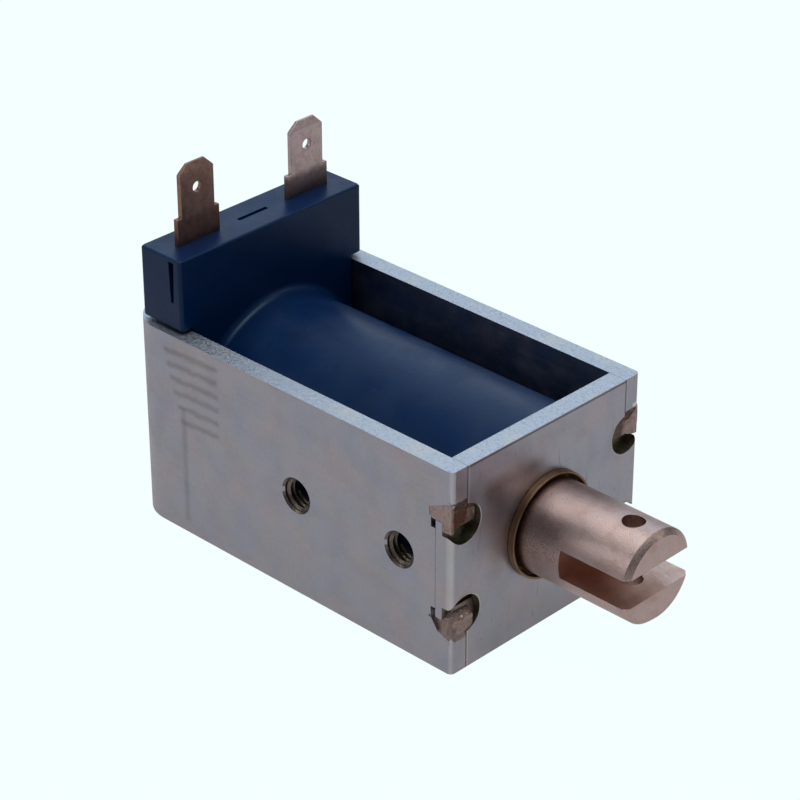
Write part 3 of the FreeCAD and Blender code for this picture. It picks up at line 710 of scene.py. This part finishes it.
# Darker, greener zinc in the reliefs: painted shade
reliefZinc = finishMaterial(
    "reliefZinc",
    {
        **zincLook,
        "colour": srgb(132, 128, 112),
        "tints": [tint(0.6, srgb(88, 84, 70), 0.7, 0.4, 0.7)],
    },
)
frontFinish = {
    "edgeMm": 0.28,
    "smoothBelow": 30,
    "kindOf": frontKind,
    "materials": [frontZinc, shearedZinc, boreZinc, reliefZinc],
}
dressedCopy("front_plate", "housing", frontFinish)

mouldingFinish = {
    "edgeMm": 0.3,
    "smoothBelow": 50,
    "segments": 3,
    "kindOf": lambda centre, normal: 0,
    "materials": [coilResin],
}
dressedCopy("coil_moulding", "housing", mouldingFinish)

terminalFinish = {"edgeMm": 0.1, "smoothBelow": 5, "kindOf": lambda centre, normal: 0}
for terminal, material in (("start_terminal", startPlate), ("finish_terminal", finishPlate)):
    dressedCopy(terminal, "housing", {**terminalFinish, "materials": [material]})


# 0 turned surface, 1 slot, 2 the nose's chamfer
def plungerKind(centre, normal):
    slotHalf, slotEnd = 2.2, 8.3
    inSlot = centre.x > slotEnd - 0.1 and abs(centre.z) < slotHalf + 0.05
    if centre.x > 18.5 and 0.2 < normal.x < 0.95 and abs(centre.z) > slotHalf + 0.1:
        return 2
    return 1 if inSlot and (abs(normal.z) > 0.9 or normal.x > 0.9 and abs(centre.x - slotEnd) < 0.2) else 0


plungerFinish = {
    "edgeMm": 0.14,
    "smoothBelow": 28,
    "kindOf": plungerKind,
    "materials": [plungerPlate, slotBrown, noseRub],
}
dressedCopy("plunger", "armature", plungerFinish)

rodFinish = {"edgeMm": 0.08, "smoothBelow": 30, "kindOf": lambda centre, normal: 0, "materials": [rodSteel]}
dressedCopy("push_rod", "armature", rodFinish)
bushFinish = {**rodFinish, "materials": [bushBronze]}
dressedCopy("rod_bush", "housing", bushFinish)
coreFinish = {**rodFinish, "materials": [coreSteel]}
dressedCopy("fixed_core", "housing", coreFinish)

keptNodes = {
    "coil_former": formerNylon,
    "winding": copperWire,
    "guide_tube": brassTube,
    "residual_washer": brassTube,
}
for name, material in keptNodes.items():
    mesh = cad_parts[name].data
    for index in range(len(mesh.materials)):
        mesh.materials[index] = material
print("solids dressed")


# A closed box between two corners in mm, cut off outside each plane
def cutBox(low, high, cuts=()):
    solid = bmesh.new()
    bmesh.ops.create_cube(solid, size=1)
    bmesh.ops.scale(solid, verts=solid.verts, vec=[(b - a) * mm for a, b in zip(low, high)])
    bmesh.ops.translate(solid, verts=solid.verts, vec=[(a + b) / 2 * mm for a, b in zip(low, high)])
    return cutAway(solid, cuts)


# A closed disc across the plate, from back to front
def cutDisc(radius, middle, back, front, cuts=()):
    solid = bmesh.new()
    bmesh.ops.create_cone(
        solid,
        cap_ends=True,
        segments=64,
        radius1=radius * mm,
        radius2=radius * mm,
        depth=(front - back) * mm,
    )
    bmesh.ops.rotate(solid, verts=solid.verts, matrix=Matrix.Rotation(pi / 2, 3, "Y"))
    place = Vector(((back + front) / 2, *middle)) * mm
    bmesh.ops.translate(solid, verts=solid.verts, vec=place)
    return cutAway(solid, cuts)


def cutAway(solid, cuts):
    for point, outward in cuts:
        bmesh.ops.bisect_plane(
            solid,
            geom=solid.verts[:] + solid.edges[:] + solid.faces[:],
            plane_co=Vector(point) * mm,
            plane_no=outward,
            clear_outer=True,
        )
        bmesh.ops.holes_fill(solid, edges=solid.edges)
    return solid


# Several solids in one, mirrored to a corner of the front
def joinAtCorner(solids, side, level):
    joined = bmesh.new()
    for solid in solids:
        part = bpy.data.meshes.new("part")
        solid.to_mesh(part)
        solid.free()
        joined.from_mesh(part)
        bpy.data.meshes.remove(part)
    bmesh.ops.scale(joined, verts=joined.verts, vec=(1, side, level))
    bmesh.ops.recalc_face_normals(joined, faces=joined.faces)
    return joined


# The side plate behind the notch, which the mark leaves whole
def makeNotchBack(name, side, level):
    s = stake
    over = 0.3
    outer = s["flush"]
    inner = outer - 2.4
    behind, below = s["overCut"]
    solids = [
        cutBox((s["markBack"] - over, inner, s["markEnd"] - over), (s["notchBack"], outer, below)),
        cutBox((s["markBack"] - over, inner, below), (behind, outer, s["tabTop"] + 0.4)),
    ]
    return linkMesh(name, joinAtCorner(solids, side, level), zincPlate, "housing")


def makeReliefFloor(name, side, level):
    s = stake
    disc = (s["reliefRadius"] + 0.02, s["relief"], -2.98, s["reliefFloor"])
    top = (0, 0, s["tabTop"])
    solids = [
        cutDisc(*disc, cuts=[((0, s["flush"], 0), (0, 1, 0)), (top, (0, 0, 1))]),
        cutDisc(*disc, cuts=[((0, s["plateEdge"], 0), (0, 1, 0)), (top, (0, 0, -1))]),
    ]
    shape = joinAtCorner(solids, side, level)
    for face in shape.faces:
        face.material_index = 1 if face.normal.x > 0.9 else 0
    piece = linkMesh(name, shape, frontZinc, "housing")
    piece.data.materials.append(reliefZinc)
    return piece


# The raised burr round the open side of a relief
def makeReliefRim(name, side, level):
    s = stake
    shape = bmesh.new()
    middle, height = s["relief"]
    section = [(-0.2, 0.0), (0.05, 0.03), (0.05, 0.16), (-0.04, 0.3), (-0.2, 0.3)]
    inside = middle - s["reliefRadius"]
    corners = [shape.verts.new((along * mm, (inside - out) * mm, height * mm)) for along, out in section]
    first = shape.faces.new(corners)
    centre = (0, middle * mm, height * mm)
    bmesh.ops.rotate(shape, verts=shape.verts, cent=centre, matrix=Matrix.Rotation(radians(-38), 3, "X"))
    bmesh.ops.spin(
        shape,
        geom=[first],
        cent=centre,
        axis=(1, 0, 0),
        angle=radians(150),
        steps=40,
        use_merge=False,
        use_duplicate=False,
    )
    bmesh.ops.bisect_plane(
        shape,
        geom=shape.verts[:] + shape.edges[:] + shape.faces[:],
        plane_co=(0, s["flush"] * mm, 0),
        plane_no=(0, 1, 0),
        clear_outer=True,
    )
    bmesh.ops.holes_fill(shape, edges=shape.edges)
    bmesh.ops.scale(shape, verts=shape.verts, vec=(1, side, level))
    bmesh.ops.recalc_face_normals(shape, faces=shape.faces)
    for face in shape.faces:
        face.smooth = True
    return linkMesh(name, shape, rimZinc, "housing")


# Solids flowed into one by remeshing, then softened and pushed about a little
def makeSquashed(name, solids, side, level):
    s = stake
    mesh = bpy.data.meshes.new("rough")
    rough = joinAtCorner(solids, side, level)
    rough.to_mesh(mesh)
    rough.free()
    block = bpy.data.objects.new("rough", mesh)
    scene.collection.objects.link(block)
    remesh = block.modifiers.new("flow", "REMESH")
    remesh.mode = "VOXEL"
    remesh.voxel_size = s["voxel"] * mm
    shape = bmesh.new()
    shape.from_object(block, bpy.context.evaluated_depsgraph_get())
    bpy.data.objects.remove(block)
    for _ in range(s["softening"]):
        bmesh.ops.smooth_vert(
            shape, verts=shape.verts, factor=0.5, use_axis_x=True, use_axis_y=True, use_axis_z=True
        )
    for vert in shape.verts:
        coarse, fine = (noise.noise_vector(vert.co / (length * mm)) * far for length, far in s["strays"])
        vert.co += (coarse + fine) * mm
        vert.co.y = max(-s["pressed"] * mm, min(s["pressed"] * mm, vert.co.y))
        vert.co.x = min(-0.02 * mm, vert.co.x)
    bmesh.ops.recalc_face_normals(shape, faces=shape.faces)
    for face in shape.faces:
        face.smooth = True
    return linkMesh(name, shape, stakedSteel, "housing")


# Above the tab the metal fills the horn's end and runs down over the relief
def upperStake():
    s = stake
    front, bottom = s["tongueFront"], s["tongueBottom"]
    outer = s["pressed"] + 0.05
    lean = ((front, 0, 8.6), (3.0, 0, -0.35))
    step = ((front - 0.05, 17.6, 0), (1.0, -0.75, 0))
    end = ((0, 0, bottom), (0, 0, -1))
    return [
        cutDisc(s["reliefRadius"] - 0.05, s["relief"], s["reliefFloor"], front, [end, lean]),
        cutBox((s["reliefFloor"], 16.2, bottom), (front + 0.5, outer, s["markTop"]), [step]),
        cutBox((s["markBack"] - 0.2, 16.6, s["tabTop"]), (front + 0.45, outer, s["markTop"] + 0.2), [step]),
    ]


# Below it the punch has left a slanting scoop, which runs out first at the back
def lowerStake():
    s = stake
    outer = s["pressed"] - 0.05
    scoop = ((0, 18.14, 7.7), (0, 3.2, -0.84))
    slope = ((-0.9, 0, 7.7), (3.4, 0, -0.9))
    ridge = ((-1.05, 17.95, 7.7), (1.0, 1.0, -0.42))
    rim = ((-0.45, 0, 7.6), (0.9, 0, -1.0))
    low = (s["markBack"] - 0.1, 16.3, s["tabTop"] - 0.3)
    return [
        cutBox(low, (0, outer, s["markTop"]), [scoop, slope, ridge]),
        cutBox((-1.9, 14.6, 5.8), (-0.2, 18.4, s["markTop"] - 0.6), [scoop, rim, ridge]),
    ]


# Side plate that the mark leaves whole past a slanting line, which is steeper at the back of a lower mark
def makeCheek(name, side, level):
    s = stake
    slope = ((-0.05, 0, s["markTop"]), (3.15, 0, -1.0))
    corner = ((0, 18.5, 0), (1, 1, 0))
    back, bottom = s["markBack"] - 0.3, s["tabTop"] + 0.05
    top = s["markTop"] + 0.4
    if level > 0:
        line = ((-4.4, 0, 9.3), (2.0, 0, -4.4))
        solids = [cutBox((back, 16.6, bottom), (-0.1, s["flush"], top), [line, slope, corner])]
    else:
        turn = -2.6
        steep = ((turn, 0, 9.8), (2.1, 0, -1.5))
        flat = ((turn, 0, 9.8), (1.0, 0, -2.4))
        solids = [
            cutBox((back, 16.6, bottom), (turn, s["flush"], top), [steep]),
            cutBox((turn, 16.6, bottom), (-0.1, s["flush"], top), [flat, slope, corner]),
        ]
    return linkMesh(name, joinAtCorner(solids, side, level), zincPlate, "housing")


for sideName, side in (("near", -1), ("far", 1)):
    for levelName, level in (("upper", 1), ("lower", -1)):
        corner = f"{sideName}_{levelName}"
        makeNotchBack("notch_back_" + corner, side, level)
        makeReliefFloor("relief_floor_" + corner, side, level)
        makeReliefRim("relief_rim_" + corner, side, level)
        makeCheek("cheek_" + corner, side, level)
        makeSquashed("staked_" + corner, upperStake() if level > 0 else lowerStake(), side, level)
print("stakes squashed")


# The guide tube's lip, proud of the front plate
lip = {"outer": 7.98, "inner": 7.58, "reach": 1.1, "mouth": 0.12, "steps": 96}


def makeLip():
    shape = bmesh.new()
    outline = [
        (0.0, lip["outer"]),
        (lip["reach"], lip["outer"]),
        (lip["reach"], lip["inner"] + lip["mouth"]),
        (lip["reach"] - lip["mouth"], lip["inner"]),
        (0.0, lip["inner"]),
    ]
    corners = [shape.verts.new((along * mm, 0, radius * mm)) for along, radius in outline]
    edges = [shape.edges.new((a, b)) for a, b in zip(corners, corners[1:] + corners[:1])]
    bmesh.ops.spin(
        shape,
        geom=corners + edges,
        cent=(0, 0, 0),
        axis=(1, 0, 0),
        angle=2 * pi,
        steps=lip["steps"],
        use_merge=True,
    )
    bmesh.ops.remove_doubles(shape, verts=shape.verts, dist=1e-6)
    bmesh.ops.recalc_face_normals(shape, faces=shape.faces)
    for face in shape.faces:
        face.smooth = True
    piece = linkMesh("tube_lip", shape, lipBrown, "housing")
    piece.data.set_sharp_from_angle(angle=radians(30))
    bevel = piece.modifiers.new("brokenEdges", "BEVEL")
    bevel.width = 0.09 * mm
    bevel.segments = 2
    bevel.limit_method = "ANGLE"
    bevel.angle_limit = radians(30)
    return piece


makeLip()
print("lip made")


# Screw threads in the four tapped holes
threads = {
    "pitch": 0.8,
    "rootRadius": 2.53,
    "tipRadius": 2.07,
    "tipHalf": 0.06,
    "rootHalf": 0.34,
    "from": 18.72,
    "to": 16.1,
    "steps": 28,
}


def makeThread(name, holeX, side):
    t = threads
    shape = bmesh.new()
    turns = (t["from"] - t["to"] - 2 * t["rootHalf"]) / t["pitch"]
    start = t["from"] - t["rootHalf"]
    section = [
        (t["rootRadius"], t["rootHalf"]),
        (t["tipRadius"], t["tipHalf"]),
        (t["tipRadius"], -t["tipHalf"]),
        (t["rootRadius"], -t["rootHalf"]),
    ]
    corners = [
        shape.verts.new(((holeX + radius) * mm, side * (start + along) * mm, 0)) for radius, along in section
    ]
    first = shape.faces.new(corners)
    steps = int(turns * t["steps"])
    shift = -side * turns * t["pitch"] / steps * mm
    bmesh.ops.spin(
        shape,
        geom=[first],
        cent=(holeX * mm, 0, 0),
        axis=(0, 1, 0),
        dvec=(0, shift, 0),
        angle=2 * pi * turns,
        steps=steps,
        use_merge=False,
        use_duplicate=False,
    )
    bmesh.ops.recalc_face_normals(shape, faces=shape.faces)
    return linkMesh(name, shape, threadZinc, "housing")


for sideName, side in (("near", -1), ("far", 1)):
    for placeName, holeX in zip(("front", "rear"), frameSizes["tappedPlaces"]):
        makeThread(f"thread_{sideName}_{placeName}", holeX, side)
print("threads cut")


# Floor, light and camera
studio = {
    "floorLevel": -0.016,
    "floorSize": 4.0,
    "floorSeen": (0.905, 1.0, 1.0, 1),  # as the camera sees it
    "floorSeenGlow": 0.99,
    "floorShade": 0.015,  # how much of it still takes light and shadow
    "floorGrey": (0.13, 0.13, 0.135, 1),  # as the object reflects it
    "floorGlow": 0.42,
    "worldGrey": (0.1, 0.1, 0.11, 1),
}


def makeFloor():
    shape = bmesh.new()
    bmesh.ops.create_grid(shape, x_segments=1, y_segments=1, size=studio["floorSize"] / 2)
    bmesh.ops.translate(shape, verts=shape.verts, vec=(0, 0, studio["floorLevel"]))
    mesh = bpy.data.meshes.new("floor")
    shape.to_mesh(mesh)
    shape.free()
    floor = bpy.data.objects.new("floor", mesh)
    scene.collection.objects.link(floor)
    material = bpy.data.materials.new("paleFloor")
    material.use_nodes = True
    tree = material.node_tree
    tree.nodes.clear()
    shade = tuple(value * studio["floorShade"] for value in studio["floorSeen"][:3]) + (1,)
    seen = addNode(
        tree,
        "BsdfPrincipled",
        {
            "Base Color": shade,
            "Roughness": 1.0,
            "Specular IOR Level": 0.0,
            "Emission Color": studio["floorSeen"],
            "Emission Strength": studio["floorSeenGlow"],
        },
    )
    reflected = addNode(
        tree,
        "BsdfPrincipled",
        {
            "Base Color": studio["floorGrey"],
            "Roughness": 1.0,
            "Specular IOR Level": 0.0,
            "Emission Color": (1, 1, 1, 1),
            "Emission Strength": studio["floorGlow"],
        },
    )
    path = addNode(tree, "LightPath")
    both = addNode(
        tree, "MixShader", {0: path.outputs["Is Camera Ray"], 1: reflected.outputs[0], 2: seen.outputs[0]}
    )
    addNode(tree, "OutputMaterial", {"Surface": both.outputs[0]})
    mesh.materials.append(material)


def makeLight(name, place, target, size, power, colour=(1, 1, 1)):
    data = bpy.data.lights.new(name, "AREA")
    data.shape = "RECTANGLE"
    data.size, data.size_y = size
    data.energy = power
    data.color = colour
    lamp = bpy.data.objects.new(name, data)
    lamp.location = place
    lamp.rotation_euler = (Vector(target) - Vector(place)).to_track_quat("-Z", "Y").to_euler()
    scene.collection.objects.link(lamp)


def makeCamera():
    view = {
        "place": (0.21928, -0.25415, 0.20983),
        "azimuth": 44.217,
        "elevation": 29.608,
        "roll": -0.123,
        "lens": 129.47,
    }
    data = bpy.data.cameras.new("camera")
    data.lens = view["lens"]
    data.sensor_width = 36
    data.clip_start = 0.01
    camera = bpy.data.objects.new("camera", data)
    turn = Euler((radians(90 - view["elevation"]), 0, radians(view["azimuth"]))).to_matrix()
    turn = turn @ Matrix.Rotation(radians(view["roll"]), 3, "Z")
    camera.matrix_world = Matrix.Translation(view["place"]) @ turn.to_4x4()
    scene.collection.objects.link(camera)
    scene.camera = camera


makeFloor()
makeLight("softboxAbove", (0.0, 0.0, 0.9), (0, 0, 0), (0.8, 0.8), 6.0)
makeLight("softboxLeft", (-0.56, -0.6, 0.42), (0, 0, 0), (0.5, 0.35), 0.9)
makeLight("softboxRight", (0.5, 0.63, 0.62), (0, 0, 0), (0.4, 0.4), 0.5)
makeLight("softboxBack", (-0.65, 0.65, 0.55), (0, 0, 0), (1.2, 0.8), 2.7, (0.76, 0.89, 1.0))
world = bpy.data.worlds.new("studio")
world.use_nodes = True
background = world.node_tree.nodes["Background"]
background.inputs["Color"].default_value = studio["worldGrey"]
scene.world = world
makeCamera()
print("studio set")
